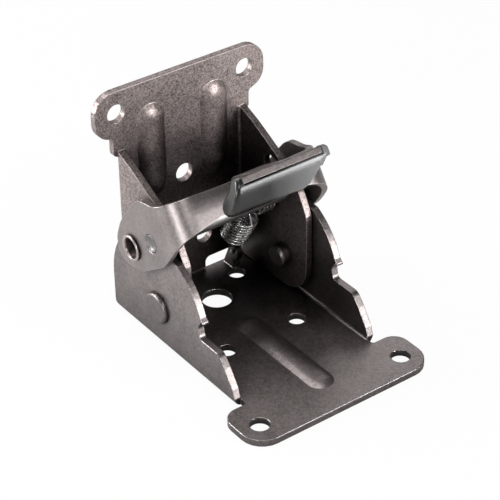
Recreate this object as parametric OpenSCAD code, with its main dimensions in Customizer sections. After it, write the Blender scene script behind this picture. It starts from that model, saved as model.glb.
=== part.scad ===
// Folding table bracket: a pressed base leaf, a pressed leg leaf that hinges on it,
// and a spring-loaded release lever whose lock pin drops into notches in the base walls.
// Millimetres. X runs across the hinge, the base reaches forward along -Y, the leg leaf stands along +Z.
// The origin is at the middle of the footprint, on the mounting face of the base.

/* [Sheet] */
// Sheet thickness of both leaves
sheet = 1.8; // [1.5:0.1:2]
// Sheet thickness of the release lever
lever_sheet = 1.6; // [1.4:0.1:1.8]

/* [Base leaf] */
// Length of the base leaf, front edge to back edge
base_len = 68; // [67:0.5:74]
// Width over the screw ears of the base leaf
base_w = 54; // [53:0.5:60]
// Corner radius of the screw ears
ear_r = 6; // [4:0.25:6.5]
// Diameter of the screw holes in the ears
ear_hole_d = 5; // [4:0.1:5.6]
// Diameter of the small floor holes
floor_hole_d = 4.6; // [3.5:0.1:5.4]
// Diameter of the large floor hole
floor_bore_d = 8; // [6:0.2:9.4]

/* [Leg leaf] */
// Width over the screw ears of the leg leaf
leg_w = 50; // [49:0.5:54]
// Height of the bracket, mounting face to the top of the leg leaf
height = 63; // [61:0.5:70]
// Diameter of the screw holes in the leg leaf
leg_hole_d = 5; // [4:0.1:5.6]

/* [Beads] */
// Width of the two beads in the leg leaf
bead_w = 8.2; // [7:0.2:9]
// Height of the two beads over the leg leaf
bead_h = 1.5; // [0.9:0.1:1.6]
// Width of the bead in the base leaf
floor_bead_w = 7; // [6:0.2:8.6]
// Height of the bead over the base leaf
floor_bead_h = 0.9; // [0.7:0.1:1.3]

/* [Pins] */
// Shank diameter of the hinge rivets
rivet_d = 5; // [4:0.1:5.6]
// Head diameter of the hinge rivets
rivet_head_d = 8.6; // [7.6:0.1:9.4]
// Diameter of the lock pin
lock_d = 5; // [4.4:0.1:5.2]
// Outer diameter of the lever's tubular rivets
tube_d = 7; // [6:0.1:7.4]
// Bore of the lever's tubular rivets
tube_bore_d = 4.4; // [3:0.1:5]

/* [Grip] */
// Width of the rubber grip
grip_w = 28; // [26:0.5:32]

/* [Hidden] */
$fn = 48;
back_y = base_len / 2;
front_y = -base_len / 2;
// the hinge, the lever's axis and the lock pin, as y and z
hinge = [back_y - 20, 11.5];
pivot = [back_y - 13.3, 26.7];
lever_tilt = -34;
lock_u = 9;
lock_v = -0.27;
// outer half widths of the two channels and the lever
leg_half = 19.2;
base_half = 21.3;
cheek_in = 21.6;
cheek_out = cheek_in + lever_sheet;
run_fit = 0.05;
slot_fit = 0.1;
wall_r = 19.3;
tab_half = 12.7;
tongue_hole = [back_y - 6.4, 7.1];
rim_r = tube_d / 2 + 0.5;
// where the beads start, and the base bead's length
bead_z = 34.1;
bead_y = back_y - 29;
floor_bead_len = base_len - 40;
// top of the leg leaf's walls
top = height - 63;

// outline corners given as [x, y, radius], turned into straight runs and arcs
function unit(v) = v / norm(v);
function wrap(a) = a > 180 ? a - 360 : (a < -180 ? a + 360 : a);
function arc_pts(c, r, a0, a1, n) = [for (i = [0:n]) c + r * [cos(a0 + (a1 - a0) * i / n), sin(a0 + (a1 - a0) * i / n)]];
function bend(a, b, c, r) =
    let (u = unit(a - b), w = unit(c - b), half = acos(u * w) / 2, m = b + unit(u + w) * r / sin(half))
    let (s = b + u * r / tan(half) - m, e = b + w * r / tan(half) - m, a0 = atan2(s[1], s[0]))
    let (turn = wrap(atan2(e[1], e[0]) - a0))
    arc_pts(m, r, a0, a0 + turn, max(2, ceil(abs(turn) / 15)));
function flat2(p) = [p[0], p[1]];
function rounded(p) = [for (i = [0:len(p) - 1])
    let (q = p[i], a = flat2(p[(i + len(p) - 1) % len(p)]), c = flat2(p[(i + 1) % len(p)]))
    each (q[2] > 0 ? bend(a, flat2(q), c, q[2]) : [flat2(q)])];

// a side outline in (y, z) given a width along X
module slab(x0, x1, pts) {
    translate([x0, 0, 0])
        rotate([90, 0, 90])
            linear_extrude(x1 - x0)
                polygon(pts);
}

// a round bar along X about a point in (y, z)
module bar(x0, x1, c, r) {
    translate([x0, c[0], c[1]])
        rotate([0, 90, 0])
            cylinder(r = r, h = x1 - x0);
}

// a solid trough section with two round bottom corners
module trough_2d(half, deep, r) {
    translate([-half, r])
        square([2 * half, deep - r]);
    translate([r - half, 0])
        square([2 * (half - r), r + 0.1]);
    for (s = [-1, 1])
        translate([s * (half - r), r])
            circle(r);
}

// pressed channel section in a plane: floor along the first axis, walls up the second
module channel_2d(half, t, deep, r) {
    difference() {
        trough_2d(half, deep, r);
        translate([0, t])
            trough_2d(half - t, deep, r - t);
    }
}

module hole_z(x, y, d) {
    translate([x, y, -1])
        cylinder(d = d, h = 6);
}

module hole_y(x, z, d) {
    translate([x, back_y + 1, z])
        rotate([90, 0, 0])
            cylinder(d = d, h = 6);
}

// a raised bead with round ends lying along Z on the plane y = 0, bulging toward -Y; inset hollows it
module bead(w, h, len, inset, back) {
    big = (w * w / 4 + h * h) / (2 * h);
    intersection() {
        translate([0, big - h, 0]) {
            cylinder(r = big - inset, h = len);
            sphere(r = big - inset);
            translate([0, 0, len])
                sphere(r = big - inset);
        }
        translate([-w, -big, -w])
            cube([2 * w, big + back, len + 2 * w]);
    }
}

// a wire swept along a path, its rings square to it and carried along without twist
function path_dir(p, i) = unit(p[min(i + 1, len(p) - 1)] - p[max(i - 1, 0)]);
function square_to(a, t) = unit(a - t * (a * t));
function carried(p) = [for (i = 0, a = square_to([0.31, 0.83, 0.46], path_dir(p, 0)); i < len(p);
    i = i + 1, a = square_to(a, path_dir(p, min(i, len(p) - 1)))) a];
module wire(p, r, n) {
    m = len(p);
    side = carried(p);
    pts = [for (i = [0:m - 1], k = [0:n - 1]) let (b = cross(path_dir(p, i), side[i]))
        p[i] + r * (side[i] * cos(360 * k / n) + b * sin(360 * k / n))];
    walls = [for (i = [0:m - 2], k = [0:n - 1])
        [(i + 1) * n + k, (i + 1) * n + (k + 1) % n, i * n + (k + 1) % n, i * n + k]];
    polyhedron(pts, concat([[for (k = [0:n - 1]) k]], [[for (k = [0:n - 1]) m * n - 1 - k]], walls));
}

// hinge-centred polar point, as y and z
function about_hinge(r, a) = hinge + r * [cos(a), sin(a)];

function base_side() = let (b = back_y) concat(
    rounded([[b - 51.4, 1, 0], [b - 51.4, 0, 0], [b, 0, 3], [b, 6, 0]]),
    arc_pts(hinge, 20, 0, 46, 9),
    rounded([[b - 7.0, 25.6, 0.5], [b - 14.4, 18.2, 0.8], [b - 16.8, 29.8, 0.8], [b - 18.0, 30.7, 0.4], [b - 18.2, 28.4, 0]]),
    [about_hinge(17.2, 86), about_hinge(17.4, 92), about_hinge(17.5, 97), about_hinge(17.9, 102),
        about_hinge(18.4, 109), about_hinge(18.8, 114), about_hinge(19.1, 116)],
    arc_pts(hinge, wall_r, 118, 159, 9),
    rounded([[b - 38.5, 17.9, 0.8], [b - 36.9, 15.2, 1.4], [b - 37.5, 12.1, 1.2], [b - 45.2, 12.1, 2.2],
        [b - 47.6, 9.2, 2], [b - 50.5, 5.0, 2], [b - 51.4, 2.4, 0]]));

module base_leaf() {
    color([0.42, 0.4, 0.38])
        difference() {
            union() {
                intersection() {
                    translate([0, back_y, 0])
                        rotate([90, 0, 0])
                            linear_extrude(51.4)
                                channel_2d(base_half, sheet, 40, 2.6);
                    slab(-30, 30, base_side());
                }
                linear_extrude(sheet)
                    polygon(rounded([[-base_w / 2, front_y, ear_r], [base_w / 2, front_y, ear_r],
                        [base_w / 2, front_y + 14.4, 4], [19.4, front_y + 14.4, 0.8], [19.4, back_y - 50, 0],
                        [-19.4, back_y - 50, 0], [-19.4, front_y + 14.4, 0.8], [-base_w / 2, front_y + 14.4, 4]]));
                translate([0, bead_y, sheet])
                    rotate([90, 0, 0])
                        mirror([0, 1, 0])
                            bead(floor_bead_w, floor_bead_h, floor_bead_len, 0, sheet);
                slab(11.3, 13.1, rounded([[back_y - 1.4, 0.9, 0], [back_y - 5.0, 9.0, 1.4],
                    [back_y - 8.6, 8, 1.4], [back_y - 5.8, 0.9, 0]]));
            }
            translate([0, bead_y, sheet])
                rotate([90, 0, 0])
                    mirror([0, 1, 0])
                        bead(floor_bead_w, floor_bead_h, floor_bead_len, sheet, sheet + 1);
            translate([-17.6, back_y - 1.2, -1])
                cube([35.2, 3, 4]);
            for (s = [-1, 1]) {
                hole_z(s * 21.5, front_y + 6.3, ear_hole_d);
                hole_z(s * 10.8, back_y - 34, floor_hole_d);
                hole_z(s * 10.8, back_y - 8.4, floor_hole_d);
            }
            hole_z(0, back_y - 14.6, floor_bore_d);
            bar(-30, -18, hinge, rivet_d / 2);
            bar(18, 30, hinge, rivet_d / 2);
            bar(-30, -18, lock_at, lock_d / 2 + slot_fit);
            bar(18, 30, lock_at, lock_d / 2 + slot_fit);
            bar(11, 14, tongue_hole, 0.8);
        }
}

// lock pin centre as y and z
lock_at = pivot + [-lock_u * cos(lever_tilt) + lock_v * -sin(lever_tilt), lock_u * -sin(lever_tilt) + lock_v * cos(lever_tilt)];

function leg_side() = let (b = back_y) concat(
    rounded([[b - 20, 2.2, 0], [b, 2.2, 1.5], [b, 47.5 + top, 0], [b - 1.8, 46.6 + top, 0.6], [b - 7.2, 44.4 + top * 0.8, 3],
        [b - 10.8, 42.6 + top * 0.6, 3], [b - 17.5, 39.1, 4], [b - 25.8, 33.4, 3], [b - 29.3, 27, 4], [b - 29.3, 11.5, 0]]),
    arc_pts(hinge, 9.3, 186, 264, 9));

// arc slot of the lock pin about the lever's axis, as a flat shape in (y, z)
module slot_side(x0, x1) {
    r = lock_d / 2 + slot_fit;
    a0 = 98.2;
    a1 = 147.7;
    intersection() {
        difference() {
            bar(x0, x1, pivot, lock_u + r);
            bar(x0 - 1, x1 + 1, pivot, lock_u - r);
        }
        slab(x0, x1, [pivot, pivot + 30 * [cos(a0), sin(a0)], pivot + 30 * [cos(123), sin(123)],
            pivot + 30 * [cos(a1), sin(a1)]]);
    }
    bar(x0, x1, pivot + lock_u * [cos(a0), sin(a0)], r);
    bar(x0, x1, pivot + lock_u * [cos(a1), sin(a1)], r);
}

module leg_leaf() {
    color([0.45, 0.42, 0.4])
        difference() {
            union() {
                intersection() {
                    translate([0, back_y, 0])
                        rotate([0, 0, 180])
                            linear_extrude(47.5 + top)
                                channel_2d(leg_half, sheet, 32, 2.6);
                    slab(-30, 30, leg_side());
                }
                translate([0, back_y, 0])
                    rotate([90, 0, 0])
                        linear_extrude(sheet)
                            polygon(rounded([[-17, 40, 0], [17, 40, 0], [17, 44 + top, 0], [20.3, 45.6 + top, 1],
                                [20.3, height - 12.4, 1.2], [leg_w / 2, height - 12.4, 4.6], [leg_w / 2, height, 5.5],
                                [-leg_w / 2, height, 5.5], [-leg_w / 2, height - 12.4, 4.6],
                                [-20.3, height - 12.4, 1.2], [-20.3, 45.6 + top, 1], [-17, 44 + top, 0]]));
                for (s = [-1, 1])
                    translate([s * 9.4, back_y - sheet, bead_z])
                        bead(bead_w, bead_h, height - 10.6 - bead_z, 0, sheet);
            }
            for (s = [-1, 1]) {
                translate([s * 9.4, back_y - sheet, bead_z])
                    bead(bead_w, bead_h, height - 10.6 - bead_z, sheet, sheet + 1);
                hole_y(s * (leg_w / 2 - 6), height - 6, leg_hole_d);
                hole_y(s * 5.5, 12.5, floor_hole_d);
                translate([s * 11.5, back_y + 1, 0])
                    rotate([90, 0, 0])
                        linear_extrude(3.4)
                            polygon(rounded([[-5.9, 0, 0], [5.9, 0, 0], [5.9, 5.2, 1.5], [-5.9, 5.2, 1.5]]));
            }
            hole_y(0, 33.5, leg_hole_d);
            for (x = [-20, 17]) {
                bar(x, x + 3, hinge, rivet_d / 2 + run_fit);
                bar(x, x + 3, pivot, tube_d / 2);
                slot_side(x, x + 3);
            }
        }
}

// a hinge rivet drawn on the +X side: inner head, shank and outer head
module hinge_rivet() {
    h = rivet_head_d / 2;
    translate([0, hinge[0], hinge[1]])
        rotate([0, 90, 0])
            rotate_extrude()
                polygon(rounded([[0, 14.6, 0], [h - 1.3, 14.6, 0.9], [h - 1.3, 17.3, 0], [rivet_d / 2, 17.3, 0],
                    [rivet_d / 2, base_half, 0], [h, base_half, 0], [h, base_half + 1.2, 0.9], [0, base_half + 1.2, 0]]));
}

module hinge_rivet_right() {
    color([0.6, 0.58, 0.55])
        hinge_rivet();
}

module hinge_rivet_left() {
    color([0.6, 0.58, 0.55])
        mirror([1, 0, 0])
            hinge_rivet();
}

module pivot_tube() {
    color([0.62, 0.58, 0.55])
        difference() {
            bar(-leg_half, leg_half, pivot, tube_d / 2);
            bar(-leg_half - 1, leg_half + 1, pivot, tube_bore_d / 2);
        }
}

// the lever's own frame: its axis is the origin, forward is -Y, up and back is +Z
module on_lever() {
    translate([0, pivot[0], pivot[1]])
        rotate([lever_tilt, 0, 0])
            children();
}

function cheek() = rounded([[2.3, 6.7, 3.5], [7.4, 3.4, 4], [8.2, -3.0, 4], [2.2, -7.0, 4], [-8.6, -7.0, 4],
    [-13.4, -5.0, 9], [-18.8, -1.6, 5], [-24, -1.0, 0], [-24, 7.5, 0], [-19.3, 7.5, 3], [-15.4, 8.1, 3], [-12.9, 10.7, 2],
    [-9.4, 10.7, 2.5]]);

module lever_yoke() {
    color([0.68, 0.67, 0.65])
        on_lever()
            difference() {
                union() {
                    intersection() {
                        translate([0, -23.4, -10])
                            linear_extrude(24)
                                channel_2d(cheek_out, lever_sheet, 34, 7);
                        slab(-30, 30, cheek());
                    }
                    slab(-tab_half, tab_half, rounded([[-21.8, 4, 0], [-21.8, 9.2, 2.4], [-39.1, 9.2, 0.5],
                        [-39.1, 9.2 - lever_sheet, 0.5], [-23.4, 9.2 - lever_sheet, 0.8], [-23.4, 4, 0]]));
                }
                for (x = [-26, 20]) {
                    bar(x, x + 6, [0, 0], tube_d / 2);
                    bar(x, x + 6, [-lock_u, lock_v], lock_d / 2);
                }
            }
}

// a tubular rivet in the right cheek, rolled over outside
module lever_eyelet() {
    on_lever()
        rotate([0, 90, 0])
            rotate_extrude()
                polygon(rounded([[tube_bore_d / 2, cheek_in, 0], [tube_d / 2, cheek_in, 0], [tube_d / 2, cheek_out, 0],
                    [rim_r, cheek_out, 0.2], [rim_r, cheek_out + 1.3, 0.7], [tube_bore_d / 2, cheek_out + 1.3, 0.4]]));
}

module lever_eyelet_right() {
    color([0.7, 0.64, 0.62])
        lever_eyelet();
}

module lever_eyelet_left() {
    color([0.7, 0.64, 0.62])
        mirror([1, 0, 0])
            lever_eyelet();
}

module lock_pin() {
    color([0.66, 0.64, 0.62])
        on_lever()
            translate([0, -lock_u, lock_v])
                rotate([0, 90, 0])
                    rotate_extrude()
                        polygon([[0, 1.4 - cheek_out], [1.2, 1.1 - cheek_out], [lock_d / 2, 0.8 - cheek_out],
                            [lock_d / 2, cheek_out - 0.8], [1.2, cheek_out - 1.1], [0, cheek_out - 1.4]]);
}

module handle_grip() {
    w = grip_w / 2;
    color([0.09, 0.09, 0.09])
        on_lever()
            intersection() {
                difference() {
                    slab(-w, w, rounded([[-25, 9, 1], [-25, 3.6, 1], [-31.6, 0.2, 2], [-38.6, 6.6, 0.8], [-38.6, 9, 0.6]]));
                    slab(-tab_half, tab_half, [[-20, 9.2 - lever_sheet], [-20, 12], [-42, 12], [-42, 9.2 - lever_sheet]]);
                }
                translate([0, -20, 0])
                    rotate([90, 0, 0])
                        linear_extrude(25)
                            polygon(rounded([[-w, 9, 0.8], [-w, 0, 3.5], [w * 0.6, 0, 2], [w, 6.4, 1], [w, 9, 0.8]]));
            }
}

// helper: point at u forward and v up on the lever, as [x, y, z]
function lever_pt(x, u, v) = [x, pivot[0] - u * cos(lever_tilt) - v * sin(lever_tilt), pivot[1] - u * sin(lever_tilt) + v * cos(lever_tilt)];

function torsion_path() = concat(
    [[13, back_y - 2.9, pivot[1] - 4.25], [13, back_y - 7, pivot[1] - 4.25]],
    [for (i = [0:63]) let (a = -90 - i * 1214 / 63)
        [13 + 3.6 * i / 63, pivot[0] + 4.25 * cos(a), pivot[1] + 4.25 * sin(a)]],
    [lever_pt(16.6, 6, 3.6), lever_pt(16.6, 11.5, 2.85)]);

module torsion_spring_right() {
    color([0.8, 0.8, 0.78])
        wire(torsion_path(), 0.5, 8);
}

module torsion_spring_left() {
    color([0.8, 0.8, 0.78])
        mirror([1, 0, 0])
            wire(torsion_path(), 0.5, 8);
}

// the pull spring: hook through the base tongue, close coil, hook round the tube
pull_x = 12.2;
pull_mid = [back_y - 8.3, 14.8];
pull_dir = let (d = unit(pivot - pull_mid)) [0, d[0], d[1]];
pull_side = [0, pull_dir[2], -pull_dir[1]];
pull_r = 3.7;
pull_from = [pull_x, pull_mid[0], pull_mid[1]] - pull_dir * 4.7;
function hole_pt(x, y, z) = [pull_x + x, tongue_hole[0] + y, tongue_hole[1] + z];
function pull_path() = concat(
    [hole_pt(1.5, -0.4, 1.6), hole_pt(1.5, 0, 0.2), hole_pt(1.2, 0, 0), hole_pt(-1.2, 0, 0), hole_pt(-1.6, 0, 0.3),
        hole_pt(-2.6, 0, 1.6)],
    [for (i = [0:112]) let (a = 180 + i * 3150 / 112)
        pull_from + pull_dir * (9.4 * i / 112) + pull_r * ([1, 0, 0] * cos(a) + pull_side * sin(a))],
    [for (i = [0:9]) let (a = 8 + i * 20)
        [pull_x, pivot[0], pivot[1]] + 4.15 * (pull_side * cos(a) + pull_dir * sin(a))]);

module pull_spring() {
    color([0.86, 0.86, 0.85])
        wire(pull_path(), 0.35, 6);
}

base_leaf();
leg_leaf();
hinge_rivet_left();
hinge_rivet_right();
pivot_tube();
lever_yoke();
lever_eyelet_left();
lever_eyelet_right();
lock_pin();
handle_grip();
torsion_spring_left();
torsion_spring_right();
pull_spring();
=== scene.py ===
import math

import bmesh
import bpy
import numpy as np
from mathutils import Matrix, Vector


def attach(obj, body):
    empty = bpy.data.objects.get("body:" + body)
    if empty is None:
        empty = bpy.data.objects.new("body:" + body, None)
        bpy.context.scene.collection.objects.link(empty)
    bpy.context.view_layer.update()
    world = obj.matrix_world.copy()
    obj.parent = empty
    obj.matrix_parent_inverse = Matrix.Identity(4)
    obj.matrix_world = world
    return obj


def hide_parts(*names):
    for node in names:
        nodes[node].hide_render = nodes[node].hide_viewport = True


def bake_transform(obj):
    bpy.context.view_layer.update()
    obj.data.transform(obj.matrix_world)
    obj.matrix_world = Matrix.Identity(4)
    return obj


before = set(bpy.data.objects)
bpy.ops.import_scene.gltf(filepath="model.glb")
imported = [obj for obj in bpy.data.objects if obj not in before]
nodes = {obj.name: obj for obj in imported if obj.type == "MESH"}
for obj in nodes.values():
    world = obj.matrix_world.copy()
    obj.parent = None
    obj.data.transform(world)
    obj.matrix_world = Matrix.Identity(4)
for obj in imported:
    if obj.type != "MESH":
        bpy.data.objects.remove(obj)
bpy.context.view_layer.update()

scene = bpy.context.scene
scene.view_settings.view_transform = "Standard"

MM = 0.001  # for the sizes that are given in millimetres
AXIS = Vector((0, 0.0207, 0.0267))  # the lever's axis
TILT = math.radians(-34)  # the lever at rest
LEVER_UP = (0, 0.559, 0.829)
SHEET = 0.0016  # thickness of the lever's sheet
# places on the lever as (u, v), and the radii of the holes there, in millimetres
EYE, EYE_HOLE = (-0.9, -0.15), 3.3
PIN, PIN_HOLE = (9, -0.27), 2.5


# ---------- material helpers ----------
SPREAD = (0.3, 0.7)  # the span that a noise mostly stays in
SEED_MOVE = (1, 0.7, 1.3)  # how far a seed moves a noise along each axis
FLAT, ROUNDED = 0.998, 0.86  # cosines between the true normal and the rounded one


class Net:
    """One material, with short ways to add shader nodes to it."""

    def __init__(self, name):
        self.mat = bpy.data.materials.new(name)
        self.mat.use_nodes = True
        self.tree = self.mat.node_tree
        self.shader = self.tree.nodes["Principled BSDF"]
        self.coord = self.add("ShaderNodeTexCoord")
        self.place = self.coord.outputs["Object"]

    def add(self, kind, **inputs):
        n = self.tree.nodes.new(kind)
        for k, v in inputs.items():
            self.put(n.inputs[k], v)
        return n

    def put(self, socket, value):
        """Links an output to the socket, or sets the socket's own value."""
        if isinstance(value, bpy.types.NodeSocket):
            self.tree.links.new(value, socket)
        else:
            socket.default_value = value

    def noise(self, scale, detail, rough, stretch=(1, 1, 1), seed=0.0):
        m = self.add("ShaderNodeMapping", Vector=self.place)
        m.inputs["Scale"].default_value = stretch
        m.inputs["Location"].default_value = [seed * s for s in SEED_MOVE]
        return self.add("ShaderNodeTexNoise", Vector=m.outputs[0], Scale=scale, Detail=detail,
                        Roughness=rough).outputs["Fac"]

    def ramp(self, fac, first, last):
        """A colour that goes from the first to the last as fac goes from 0 to 1."""
        n = self.add("ShaderNodeValToRGB", Fac=fac)
        for stop, colour in zip(n.color_ramp.elements, (first, last)):
            stop.color = colour
        return n.outputs["Color"]

    def level(self, fac, a, b, c=0.0, d=1.0):
        """Maps a..b to c..d and stays at c or d beyond it."""
        n = self.tree.nodes.new("ShaderNodeMapRange")
        for i, v in enumerate((fac, a, b, c, d)):
            self.put(n.inputs[i], v)
        return n.outputs[0]

    def math(self, op, a, b=0.0):
        n = self.tree.nodes.new("ShaderNodeMath")
        n.operation = op
        self.put(n.inputs[0], a)
        self.put(n.inputs[1], b)
        return n.outputs[0]

    def dot(self, a, b):
        n = self.tree.nodes.new("ShaderNodeVectorMath")
        n.operation = "DOT_PRODUCT"
        self.put(n.inputs[0], a)
        self.put(n.inputs[1], b)
        return n.outputs["Value"]

    def mix(self, fac, a, b):
        """Colour a where fac is 0 and b where it is 1."""
        n = self.tree.nodes.new("ShaderNodeMix")
        n.data_type = "RGBA"
        n.clamp_result = True
        self.put(n.inputs[0], fac)
        self.put(n.inputs[6], a)  # the colour inputs go by number, as their names repeat
        self.put(n.inputs[7], b)
        return n.outputs[2]

    def edge(self, radius):
        """1 on edges, 0 on flat faces, and the rounded normal that goes with it."""
        bevel = self.add("ShaderNodeBevel", Radius=radius)
        bevel.samples = 6
        geo = self.add("ShaderNodeNewGeometry")
        cosine = self.dot(bevel.outputs[0], geo.outputs["Normal"])
        return self.level(cosine, FLAT, ROUNDED), bevel.outputs[0]

    def crevice(self, reach, shut, clear, amount):
        """The amount where the surface is shut in within reach, and 0 where it is clear: a mask for painted
        shade.
        """
        open_to = self.add("ShaderNodeAmbientOcclusion", Distance=reach).outputs["AO"]
        return self.level(open_to, shut, clear, amount, 0)

    def bump(self, height, strength, distance, normal=None):
        n = self.add("ShaderNodeBump", Height=height, Strength=strength, Distance=distance)
        if normal is not None:
            self.put(n.inputs["Normal"], normal)
        return n.outputs[0]

    def skin(self, colour, rough, normal, metallic=1.0):
        """Joins the finished parts to the shader and gives the material."""
        self.put(self.shader.inputs["Base Color"], colour)
        self.put(self.shader.inputs["Roughness"], rough)
        self.put(self.shader.inputs["Normal"], normal)
        self.shader.inputs["Metallic"].default_value = metallic
        return self.mat


def grey(v, warm=0.0):
    """A grey, with more red and a little less blue as it gets warmer."""
    return (min(1, v * (1 + warm)), v, v * (1 - 0.2 * warm), 1)


def plated(name, dark, light, rough, speck, edge_light, warm, painted_recess_shade=0.0):
    """Plated pressed steel: cloudy and speckled, with rubbed bright edges and painted shade where it is shut
    in.
    """
    n = Net(name)
    cloud = n.noise(140, 4, 0.6)
    grain = n.noise(1900, 3, 0.7, seed=0.3)
    fleck = n.noise(5200, 1, 0.5, seed=0.9)
    mottle = n.noise(950, 4, 0.75, seed=1.4)
    rubbing = n.noise(900, 2, 0.6, seed=2.0)
    waves = n.noise(500, 2, 0.5, seed=4.0)
    edge, normal = n.edge(0.00035)
    worn = n.math("MULTIPLY", edge, n.level(rubbing, 0.3, 0.62, 0.35, 1.0))
    tone = n.ramp(n.level(cloud, *SPREAD), grey(dark, warm), grey(light, warm))
    tone = n.mix(n.level(grain, 0.38, 0.66, 0, speck), tone, grey(light * 2.2, warm * 1.2))
    tone = n.mix(n.level(mottle, 0.47, 0.68, 0, speck), tone, grey(light * 1.9, warm))
    tone = n.mix(n.level(fleck, 0.55, 0.75, 0, speck * 1.5), tone, grey(dark * 0.3, warm))
    # painted shade: the colour darkens where the surface is shut in
    if painted_recess_shade:
        tone = n.mix(n.crevice(0.03, 0.3, 0.85, painted_recess_shade), tone, grey(dark * 0.15, warm))
    tone = n.mix(worn, tone, grey(edge_light, warm * 0.5))
    r = n.level(grain, *SPREAD, rough - 0.06, rough + 0.08)
    r = n.math("ADD", r, n.level(cloud, *SPREAD, -0.03, 0.03))
    r = n.math("SUBTRACT", r, n.math("MULTIPLY", worn, 0.12))
    return n.skin(tone, r, n.bump(grain, 0.35, 0.00004, n.bump(waves, 0.2, 0.00008, normal)))


def bright(name, tone, rough, warm, lines=(1, 1, 1), painted_crevice_shade=0.0):
    """Bare or bright-plated steel, with turning or drawing lines and painted shade in its crevices if asked.
    """
    n = Net(name)
    cloud = n.noise(260, 3, 0.6)
    fine = n.noise(3600, 2, 0.6, stretch=lines, seed=0.5)
    c = n.ramp(n.level(cloud, *SPREAD), grey(tone * 0.72, warm), grey(tone * 1.1, warm))
    c = n.mix(n.level(fine, 0.35, 0.7, 0, 0.3), c, grey(tone * 0.5, warm))
    edge, normal = n.edge(0.0002)
    c = n.mix(n.math("MULTIPLY", edge, 0.6), c, grey(tone * 1.3, warm))
    # painted shade: darker in crevices, such as the eyelet's bore
    if painted_crevice_shade:
        c = n.mix(n.crevice(0.004, 0.45, 0.9, painted_crevice_shade), c, grey(0.015))
    return n.skin(c, n.level(fine, *SPREAD, rough - 0.05, rough + 0.08), n.bump(fine, 0.3, 0.00003, normal))


def drawn(name):
    """Bright drawn wire: smooth, with slow changes of tone, and painted shade between its turns."""
    n = Net(name)
    cloud = n.noise(420, 2, 0.5)
    duller = n.noise(900, 2, 0.5, seed=1.0)
    c = n.ramp(n.level(cloud, 0.35, 0.65), grey(0.75), grey(1.0))
    # painted shade: dark between the turns
    c = n.mix(n.crevice(0.001, 0.3, 0.95, 1.0), c, grey(0.02))
    return n.skin(c, n.level(duller, 0.35, 0.65, 0.2, 0.32), n.bump(cloud, 0.1, 0.00003))


def rubber(name):
    """Glossy near-black moulded rubber: faint dust, a painted reflection to the right, painted highlights on
    its ridge tops.
    """
    n = Net(name)
    fine = n.noise(3200, 3, 0.65)
    cloud = n.noise(220, 3, 0.6, seed=1.0)
    edge, normal = n.edge(0.00022)
    across = n.add("ShaderNodeSeparateXYZ", Vector=n.place).outputs[0]
    # painted reflection: the grip grows paler towards the right, plus a little random dust from the cloud
    # noise
    painted_reflection_and_dust = n.math("ADD", n.level(across, -0.004, 0.011, 0, 0.95), n.level(cloud, 0.35, 0.7, 0, 0.04))
    from_middle = n.math("ABSOLUTE", n.math("SUBTRACT", across, 0.0008))
    facing_up = n.dot(n.coord.outputs["Normal"], LEVER_UP)
    # painted highlight: paler where the end ridges face up
    painted_ridge_highlight = n.math("MULTIPLY", n.level(from_middle, 0.0114, 0.0118), n.level(facing_up, 0.45, 0.75))
    c = n.ramp(n.level(cloud, *SPREAD), grey(0.004), grey(0.009))
    c = n.mix(painted_reflection_and_dust, c, grey(0.19))
    c = n.mix(painted_ridge_highlight, c, grey(0.1))
    # painted highlight: the rounded edges are paler
    c = n.mix(n.math("MULTIPLY", edge, 0.4), c, grey(0.2))
    return n.skin(c, n.level(fine, *SPREAD, 0.16, 0.28), n.bump(fine, 0.35, 0.00006, normal), metallic=0.0)


# ---------- the materials, and the solids they go on ----------
LINES = (0.05, 1, 1)  # a noise drawn out along X
# the leaves and the rivet are darkened where they are shut in, as painted shade
m_leaf = plated("leg_leaf_plating", dark=0.08, light=0.2, rough=0.42, speck=0.85, edge_light=0.38,
                warm=0.17, painted_recess_shade=0.85)
m_base = plated("base_leaf_plating", dark=0.13, light=0.22, rough=0.36, speck=0.35, edge_light=0.38,
                warm=0.12, painted_recess_shade=0.85)
m_lever = plated("lever_plating", dark=0.18, light=0.25, rough=0.4, speck=0.2, edge_light=0.5, warm=0.11)
m_tab = plated("tab_plating", dark=0.05, light=0.1, rough=0.42, speck=0.4, edge_light=0.4, warm=0.12)
m_rivet = plated("rivet_steel", dark=0.12, light=0.18, rough=0.38, speck=0.3, edge_light=0.4,
                 warm=0.12, painted_recess_shade=0.85)
m_tube = bright("tube_steel", tone=0.1, rough=0.34, warm=0.05, lines=LINES)
# the eyelet is darkened in its bore as painted shade
m_eye = bright("eyelet_steel", tone=0.45, rough=0.32, warm=0.16, painted_crevice_shade=0.95)
m_pin = bright("pin_steel", tone=0.24, rough=0.42, warm=0.04, lines=LINES)
m_coil = drawn("spring_wire")
m_grip = rubber("grip_rubber_skin")

for name, mat in {
    "base_leaf": m_base,
    "leg_leaf": m_leaf,
    "hinge_rivet_left": m_rivet,
    "hinge_rivet_right": m_rivet,
    "pivot_tube": m_tube,
    "lever_yoke": m_lever,
    "lever_eyelet_left": m_eye,
    "lever_eyelet_right": m_eye,
    "lock_pin": m_pin,
    "handle_grip": m_grip,
    "torsion_spring_left": m_coil,
    "torsion_spring_right": m_coil,
    "pull_spring": m_coil,
}.items():
    nodes[name].data.materials.clear()
    nodes[name].data.materials.append(mat)


# ---------- helpers for the shapes ----------
def on_lever(x, u, v):
    """A point on the lever in millimetres from its axis: x across, u forward along it and v up from it."""
    u, v = u * MM, v * MM
    return Vector((x * MM, AXIS.y - u * math.cos(TILT) - v * math.sin(TILT),
                   AXIS.z - u * math.sin(TILT) + v * math.cos(TILT)))


def on_circle(centre, radius, out, up, degrees):
    """A point on a circle: it lies towards out at 0 degrees and towards up at 90."""
    a = math.radians(degrees)
    return centre + radius * (out * math.cos(a) + up * math.sin(a))


def clamp(t):
    return max(0, min(1, t))


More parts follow.
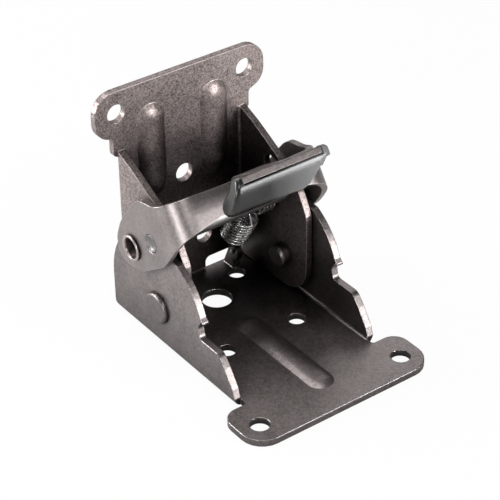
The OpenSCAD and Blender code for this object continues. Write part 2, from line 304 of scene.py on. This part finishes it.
def wire(name, path, radius, body=None, mirror=False):
    """A round wire along a path, as a mesh."""
    curve = bpy.data.curves.new(name, "CURVE")
    curve.dimensions = "3D"
    curve.bevel_depth = radius
    curve.bevel_resolution = 3
    curve.use_fill_caps = True
    s = curve.splines.new("POLY")
    s.points.add(len(path) - 1)
    for q, p in zip(s.points, path):
        q.co = (-p[0] if mirror else p[0], p[1], p[2], 1)
    made = bpy.data.objects.new(name, curve)
    scene.collection.objects.link(made)
    bpy.context.view_layer.update()
    mesh = bpy.data.meshes.new_from_object(made.evaluated_get(bpy.context.evaluated_depsgraph_get()))
    obj = bpy.data.objects.new(name, mesh)
    scene.collection.objects.link(obj)
    bpy.data.objects.remove(made)
    mesh.polygons.foreach_set("use_smooth", [True] * len(mesh.polygons))
    mesh.materials.append(m_coil)
    if body:
        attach(obj, body)
    return obj


def solid(name, verts, faces, mat, stands_for, smooth=35, body="lever"):
    """A closed mesh, or a sheet to be thickened, with edges sharper than `smooth` degrees kept crisp."""
    mesh = bpy.data.meshes.new(name)
    mesh.from_pydata([tuple(v) for v in verts], [], faces)
    mesh.validate()
    mesh.materials.append(mat)
    obj = bpy.data.objects.new(name, mesh)
    scene.collection.objects.link(obj)
    bm = bmesh.new()
    bm.from_mesh(mesh)
    bmesh.ops.remove_doubles(bm, verts=bm.verts, dist=1e-6)
    bmesh.ops.recalc_face_normals(bm, faces=bm.faces)
    bm.to_mesh(mesh)
    bm.free()
    mesh.polygons.foreach_set("use_smooth", [True] * len(mesh.polygons))
    mesh.set_sharp_from_angle(angle=math.radians(smooth))
    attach(obj, body)
    if stands_for:
        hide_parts(stands_for)
    return obj


def grid_faces(rows, cols, wrap=False):
    """Faces over a grid of points given row by row, and joined round if wrap is set."""
    n = cols if wrap else cols - 1
    return [(r * cols + c, r * cols + (c + 1) % cols, (r + 1) * cols + (c + 1) % cols, (r + 1) * cols + c)
            for r in range(rows - 1) for c in range(n)]


def lathe(name, profile, at, mirror, mat, stands_for):
    """A turned piece about an axis along X at (u, v) on the lever; profile is (radius, x) in millimetres."""
    steps = 56
    verts = []
    for r, x in profile:
        for k in range(steps):
            a = 2 * math.pi * k / steps
            verts.append(on_lever(-x if mirror else x, at[0] + r * math.cos(a), at[1] + r * math.sin(a)))
    return solid(name, verts, grid_faces(len(profile), steps, True), mat, stands_for)


def bake(obj, kind, **settings):
    """Applies one modifier to the object."""
    m = obj.modifiers.new(kind, kind)
    for k, v in settings.items():
        setattr(m, k, v)
    made = bpy.data.meshes.new_from_object(obj.evaluated_get(bpy.context.evaluated_depsgraph_get()))
    obj.modifiers.clear()
    obj.data = made
    made.polygons.foreach_set("use_smooth", [True] * len(made.polygons))
    made.set_sharp_from_angle(angle=math.radians(32))


def thicken(obj):
    bake(obj, "SOLIDIFY", thickness=SHEET, offset=0.0, use_even_offset=True)


def drill(obj, u, v, r):
    """Cuts a round hole along X through the object, at (u, v) on the lever."""
    bpy.ops.mesh.primitive_cylinder_add(vertices=64, radius=r * MM, depth=0.06, location=on_lever(0, u, v),
                                        rotation=(0, math.pi / 2, 0))
    cutter = bpy.context.object
    bake(obj, "BOOLEAN", operation="DIFFERENCE", object=cutter, solver="EXACT")
    bpy.data.objects.remove(cutter)


# ---------- the two torsion springs: a back end, a coil round the axis and an arm inside the lever ----------
COIL_X, COIL_RUN, COIL_R, COIL_WIRE = 0.013, 0.0036, 0.00425, 0.0005
COIL_TURN, COIL_STEPS = 1214, 121  # degrees in all, and the steps it takes
BACK_END = (0.0311, 0.027)  # from and to along Y
ARM = ((16.6, 6, 3.6), (16.6, 11.5, 2.85))  # on the lever, in millimetres

for side, flip in (("right", False), ("left", True)):
    path = [Vector((COIL_X, y, AXIS.z - COIL_R)) for y in BACK_END]
    for i in range(COIL_STEPS + 1):
        centre = Vector((COIL_X + COIL_RUN * i / COIL_STEPS, AXIS.y, AXIS.z))
        degrees = -90 - i * COIL_TURN / COIL_STEPS
        path.append(on_circle(centre, COIL_R, Vector((0, 1, 0)), Vector((0, 0, 1)), degrees))
    path += [on_lever(*p) for p in ARM]
    coil = wire("torsion_coil_" + side, path, COIL_WIRE, "leg", flip)
    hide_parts("torsion_spring_" + side)

# ---------- the pull spring: a hook in the tongue, a coil and a hook round the pivot tube ----------
X, HOLE = 0.0122, Vector((0.0122, 0.0276, 0.0071))
ALONG = Vector((0, -4.6, 8.5)).normalized()
ACROSS = Vector((0, ALONG.z, -ALONG.y))
LOWER_HOOK = (  # from the tongue's hole, in millimetres
    (-1.5, -0.3, 1.5), (-1.5, 0, 0.2), (-1.2, 0, 0), (1.2, 0, 0), (1.7, 0, 0.4), (2.3, 0.1, 1.6),
    (3.0, 0.4, 2.9))
PULL_START, PULL_RUN, PULL_R, PULL_WIRE = Vector((X, 0.0281, 0.0119)), 0.0095, 0.0036, 0.00034
PULL_STEPS, PULL_STEP = 186, 15  # steps, and degrees in each
HOOK_R, HOOK_FROM, HOOK_STEP, HOOK_POINTS = 0.00415, 8, 10, 19

path = [HOLE + Vector(p) * MM for p in LOWER_HOOK]
for i in range(PULL_STEPS + 1):
    centre = PULL_START + ALONG * (PULL_RUN * i / PULL_STEPS)
    path.append(on_circle(centre, PULL_R, Vector((1, 0, 0)), ACROSS, i * PULL_STEP))
for i in range(HOOK_POINTS):
    path.append(on_circle(Vector((X, AXIS.y, AXIS.z)), HOOK_R, ACROSS, ALONG, HOOK_FROM + i * HOOK_STEP))
pull = wire("pull_coil", path, PULL_WIRE)
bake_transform(pull)
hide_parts("pull_spring")

# ---------- the lever's sheet ----------
# A place t along one half of the bent sheet is u on the cheek and runs on round the bend and the bridge.
# All in millimetres: the bend's radius and start, the cheek's x, the bridge's u, and t at the back end.
BEND, BEND_AT, HALF, FRONT, END = 6.2, 16.4, 22.4, 22.6, -8.2
BEND_LENGTH = BEND * math.pi / 2
MIDDLE = BEND_AT + BEND_LENGTH + (HALF - BEND)
TOP = [  # (t, v) of the sheet's upper edge
    (-8.2, 0.2), (-7.6, 2.3), (-6.4, 3.8), (-4.9, 4.9), (-2.6, 6.5), (-0.2, 7.7), (4.5, 9.3), (8.6, 10.5),
    (10.6, 10.6), (12.6, 9.8), (15.2, 8.5), (18.5, 7.8), (22, 7.6), (26.1, 7.55), (33, 7.3), (60, 7.2)]
BOTTOM = [  # and of its lower edge
    (-8.2, -0.9), (-7.6, -2.5), (-6.2, -3.7), (-3.9, -5.0), (-1.6, -6.3), (0.5, -6.6), (10.4, -6.6),
    (12.6, -6.1), (15.5, -5.0), (19, -3.3), (22.5, -1.7), (26.1, -0.7), (29.5, -0.1), (33.5, 0.8), (60, 1.0)]
WINDOW = 0.8  # half the length over which the edges are softened
STEP = 0.3  # between places along the sheet
NOSE, NOSE_POINTS = 0.9, 12  # the rounded back end: its length and points
NOSE_LEAST = 0.45  # the share of the height that is left at its tip
ROWS = 13  # points from the lower edge to the upper one


def soft_edge(points, at):
    """Heights along a line through (place, height) points, softened over the window."""
    xs, ys = np.array(points).T
    offsets = np.linspace(-WINDOW, WINDOW, 9)
    return np.mean([np.interp(np.array(at) + o, xs, ys) for o in offsets], axis=0)


def half_place(t):
    """(x, u) of the place t on the right half of the sheet."""
    if t <= BEND_AT:
        return HALF, t
    if t <= BEND_AT + BEND_LENGTH:
        a = (t - BEND_AT) / BEND
        return HALF - BEND + BEND * math.cos(a), BEND_AT + BEND * math.sin(a)
    return HALF - BEND - (t - BEND_AT - BEND_LENGTH), FRONT


nose = list(END + NOSE * (1 - np.cos(np.linspace(0, math.pi / 2, NOSE_POINTS))))
along = nose + list(np.arange(nose[-1] + STEP, MIDDLE, STEP)) + [MIDDLE]
tops, bottoms = soft_edge(TOP, along), soft_edge(BOTTOM, along)
mid = (tops[0] + bottoms[0]) / 2
for i in range(NOSE_POINTS):
    k = math.sin(math.pi / 2 * i / (NOSE_POINTS - 1)) * (1 - NOSE_LEAST) + NOSE_LEAST
    tops[i], bottoms[i] = mid + (tops[i] - mid) * k, mid + (bottoms[i] - mid) * k
right_half = [(*half_place(t), low, high) for t, low, high in zip(along, bottoms, tops)]
columns = [(-x, u, low, high) for x, u, low, high in right_half] + right_half[-2::-1]
verts = [on_lever(x, u, low + (high - low) * k / (ROWS - 1))
         for x, u, low, high in columns for k in range(ROWS)]
sheet = solid("lever_sheet", verts, grid_faces(len(columns), ROWS), m_lever, "lever_yoke")
bpy.context.view_layer.update()
thicken(sheet)
drill(sheet, *EYE, EYE_HOLE)
drill(sheet, *PIN, PIN_HOLE)

# ---------- the handle tab, bent forward from the top of the bridge ----------
TAB_BEND = (24.4, 5.6)  # (u, v) of the bend's centre, in millimetres like all of the tab
TAB_R = 1.8
ROOT_HALF, TAB_HALF, TAB_AT = 4.2, 12.4, 34.5  # half widths of the root and the tab, and the u between them
TAB_LEFT, SLANT_AT, SLANT = -9.4, 34.6, 0.5  # the tab's left edge, and how it slants out past a place
TAB_COLS = 25

line = [(FRONT, 3.5), (FRONT, 5.5)]
for a in np.linspace(0, math.pi / 2, 8):
    line.append((TAB_BEND[0] - TAB_R * math.cos(a), TAB_BEND[1] + TAB_R * math.sin(a)))
line += [(u, TAB_BEND[1] + TAB_R) for u in (26, 28, 31, 34.4, 34.6, 36, 37.5, 38.9)]
verts = []
for u, v in line:
    half = ROOT_HALF if u < TAB_AT else TAB_HALF
    left = TAB_LEFT - SLANT * max(0, u - SLANT_AT)
    verts += [on_lever(max(half * (2 * k / (TAB_COLS - 1) - 1), left), u, v) for k in range(TAB_COLS)]
tab = solid("lever_tab", verts, grid_faces(len(line), TAB_COLS), m_tab, None)
thicken(tab)

# ---------- the grip: sections along X, round at the left end, cut away at the lower right ----------
SIDES = [  # (u, v) from the front edge round below to the back edge, in millimetres like all of the grip
    (39.3, 6.2), (39.2, 5.4), (38.4, 3.8), (37.3, 1.8), (36.6, 0.8), (35.7, 0.3), (34.4, 0.1), (32.6, 0.1),
    (31.3, 0.7), (30.7, 1.8), (31.0, 2.9), (33.2, 4.8), (35.6, 6.5)]
ROOF = [(36.2, 0.25), (37.2, 0), (38.6, 0), (39.2, 0.45)]  # (u, depth below the top) from back to front
TOP_FACE, RIDGE_TOP = 6.55, 8.4  # v of the top between the end ridges and on them
RIDGE_LEFT, RIDGE_RIGHT = -10.8, 12.42  # the ridges lie beyond these
LEFT_END, LEFT_ROUND, LEFT_LEAST = -14.9, 2.4, 0.66  # the round end: its place, length and least size
RIGHT_AT, RIGHT_ROUND, RIGHT_LOSS = 12.8, 1.4, 0.2  # where the right end shrinks, over what, how much
UNDERSIDE = 0.1  # its v
CUT_AT, CUT_RUN, CUT_RISE = 6.8, 6.6, 5.3  # where the underside starts to rise, over what, how much
LEAN, LEAN_RUN = 2.6, 4.1  # how far the left ridge leans in at its top, and the length that it takes
LEAN_FROM, LEAN_HIGH = 0.5, 7.5  # the height where the lean starts, and the height over which it grows
CORE_U, CORE_V = 36.2, 6.0  # the ends shrink towards this line

round_end = list(LEFT_END + LEFT_ROUND * (1 - np.cos(np.linspace(0, math.pi / 2, 12))))
left_ridge = [-11.6, -10.84, -10.76]
right_ridge = [12.38, 12.46, 12.8, 13.3, 13.8, 14.2]
places = sorted(round_end + left_ridge + list(np.linspace(-10.4, 12.2, 30)) + right_ridge)
verts = []
for x in places:
    top = RIDGE_TOP if x < RIDGE_LEFT or x > RIDGE_RIGHT else TOP_FACE
    low = UNDERSIDE + clamp((x - CUT_AT) / CUT_RUN) * CUT_RISE
    k = 1.0
    if x < LEFT_END + LEFT_ROUND:
        depth = (x - LEFT_END - LEFT_ROUND) / LEFT_ROUND
        k = LEFT_LEAST + (1 - LEFT_LEAST) * math.sqrt(max(0, 1 - depth ** 2))
    if x > RIGHT_AT:
        k = 1 - RIGHT_LOSS * ((x - RIGHT_AT) / RIGHT_ROUND) ** 2
    for u, v in SIDES + [(u, top - below) for u, below in ROOF]:
        v = CORE_V + (max(v, low) - CORE_V) * k
        lean = LEAN * clamp((RIDGE_LEFT - x) / LEAN_RUN) * clamp((v - LEAN_FROM) / LEAN_HIGH)
        verts.append(on_lever(x + lean, CORE_U + (u - CORE_U) * (0.25 + 0.75 * k), v))
ring = len(SIDES) + len(ROOF)
faces = grid_faces(len(places), ring, True)
faces += [tuple(range(ring)), tuple(range(len(verts) - 1, len(verts) - ring - 1, -1))]
solid("grip_body", verts, faces, m_grip, "handle_grip", smooth=50)

# ---------- the eyelets with their rolled lips, and the lock pin with its dished ends ----------
EYELET = [  # (radius, x)
    (2.6, 21.7), (3.3, 21.7), (3.3, 23.2), (3.42, 23.24), (3.52, 23.5), (3.48, 23.8), (3.3, 23.98),
    (3.05, 24.02), (2.8, 23.95), (2.65, 23.75), (2.6, 23.4), (2.6, 21.7)]
PIN_END = [(0, 22.7), (1.3, 22.72), (1.7, 22.85), (2.0, 23.2), (2.25, 23.25), (2.42, 23.0)]
PIN_R = 2.45  # at its middle

for side, flip in (("right", False), ("left", True)):
    lathe("eyelet_" + side, EYELET, EYE, flip, m_eye, "lever_eyelet_" + side)
shaft = [(r, -x) for r, x in PIN_END] + [(PIN_R, 0)] + PIN_END[::-1]
lathe("lock_shaft", shaft, PIN, False, m_pin, "lock_pin")

# ---------- camera, from the fit to the photograph ----------
AZ, EL, ROLL = math.radians(-36.06), math.radians(34.19), math.radians(-0.85)
DISTANCE, LENS, SENSOR = 0.4451, 133.4, 36
target = Vector((-0.00325, 0.00024, 0.0284))
back = Vector((math.sin(AZ) * math.cos(EL), -math.cos(AZ) * math.cos(EL), math.sin(EL)))
right = Vector((math.cos(AZ), math.sin(AZ), 0))
up = back.cross(right)
rolled = Matrix.Rotation(ROLL, 3, back)
right, up = rolled @ right, rolled @ up
cam = bpy.data.cameras.new("camera")
cam.lens, cam.sensor_width = LENS, SENSOR
cam.clip_start, cam.clip_end = 0.01, 10
eye = bpy.data.objects.new("camera", cam)
turned = Matrix((right, up, back)).transposed().to_4x4()
eye.matrix_world = Matrix.Translation(target + back * DISTANCE) @ turned
scene.collection.objects.link(eye)
scene.camera = eye

# ---------- lights ----------
AIM = Vector((0, 0, 0.03))


def lamp(name, at, side, power):
    """A square lamp that points at the middle of the object."""
    data = bpy.data.lights.new(name, "AREA")
    data.shape = "SQUARE"
    data.size = side
    data.energy = power
    obj = bpy.data.objects.new(name, data)
    obj.location = at
    obj.rotation_euler = (AIM - Vector(at)).to_track_quat("-Z", "Y").to_euler()
    scene.collection.objects.link(obj)


def from_camera(r, u, b):
    """A point given to the camera's right, above it and towards it, from the object's middle."""
    return target + right * r + up * u + back * b


def towards(x, y, z, distance=1.0):
    """A point in a direction from the object's middle."""
    return target + Vector((x, y, z)) * distance


lamp("above_left", from_camera(-0.3, 0.5, 0.1), side=0.3, power=1.4)
lamp("left_front", towards(-0.858, -0.465, 0.207, 0.7), side=0.13, power=1.7)
lamp("left_low", towards(-0.5, 0.45, 0.08), side=0.35, power=5.2)
lamp("front_low", towards(0.42, -0.8, 0.1, 0.75), side=0.3, power=3.9)
lamp("back_right", towards(0.45, 0.62, 0.5, 0.9), side=0.5, power=0.9)
lamp("front_right", towards(0.487, -0.772, 0.41, 0.8), side=0.42, power=0.75)
lamp("by_camera", from_camera(0.1, 0.08, 0.4), side=0.08, power=0.4)
lamp("top", (-0.05, 0.0, 0.7), side=0.25, power=1.0)


# ---------- world and floor: white to the camera, plain to all other rays ----------
WHITE = (1, 1, 1, 1)
SKY_DARK, SKY_STRENGTH = (0.1, 0.1, 0.1, 1), 0.1  # the sky is dark below and white above
FLOOR_GREY, FLOOR_SHOWN = (0.75, 0.75, 0.75, 1), 0.95  # how much of the floor the camera sees as plain white


def seen_as(tree, others, camera, share):
    """A shader that camera rays meet as one thing, by the share, and all other rays as another."""
    ray = tree.nodes.new("ShaderNodeLightPath")
    part = tree.nodes.new("ShaderNodeMath")
    part.operation = "MULTIPLY"
    part.inputs[1].default_value = share
    mixer = tree.nodes.new("ShaderNodeMixShader")
    tree.links.new(ray.outputs["Is Camera Ray"], part.inputs[0])
    tree.links.new(part.outputs[0], mixer.inputs[0])
    tree.links.new(others.outputs[0], mixer.inputs[1])
    tree.links.new(camera.outputs[0], mixer.inputs[2])
    return mixer.outputs[0]


world = bpy.data.worlds.new("world")
scene.world = world
world.use_nodes = True
t = world.node_tree
t.nodes.clear()
coord = t.nodes.new("ShaderNodeTexCoord")
height = t.nodes.new("ShaderNodeSeparateXYZ")
span = t.nodes.new("ShaderNodeMapRange")
sky = t.nodes.new("ShaderNodeValToRGB")
soft = t.nodes.new("ShaderNodeBackground")
white = t.nodes.new("ShaderNodeBackground")
out = t.nodes.new("ShaderNodeOutputWorld")
span.inputs[1].default_value, span.inputs[2].default_value = -1, 1
sky.color_ramp.elements[0].color = SKY_DARK
sky.color_ramp.elements[1].color = WHITE
soft.inputs["Strength"].default_value = SKY_STRENGTH
white.inputs["Color"].default_value = WHITE
white.inputs["Strength"].default_value = 1
t.links.new(coord.outputs["Generated"], height.inputs[0])
t.links.new(height.outputs["Z"], span.inputs[0])
t.links.new(span.outputs[0], sky.inputs[0])
t.links.new(sky.outputs[0], soft.inputs["Color"])
t.links.new(seen_as(t, soft, white, 1), out.inputs[0])

bpy.ops.mesh.primitive_plane_add(size=3, location=(0, 0, -0.00002))
floor = bpy.context.object
floor.name = "floor"
fm = bpy.data.materials.new("floor")
fm.use_nodes = True
ft = fm.node_tree
fs = ft.nodes["Principled BSDF"]
fs.inputs["Base Color"].default_value = FLOOR_GREY
fs.inputs["Roughness"].default_value = 0.9
glow = ft.nodes.new("ShaderNodeEmission")
glow.inputs["Color"].default_value = WHITE
glow.inputs["Strength"].default_value = 1
ft.links.new(seen_as(ft, fs, glow, FLOOR_SHOWN), ft.nodes["Material Output"].inputs[0])
floor.data.materials.append(fm)
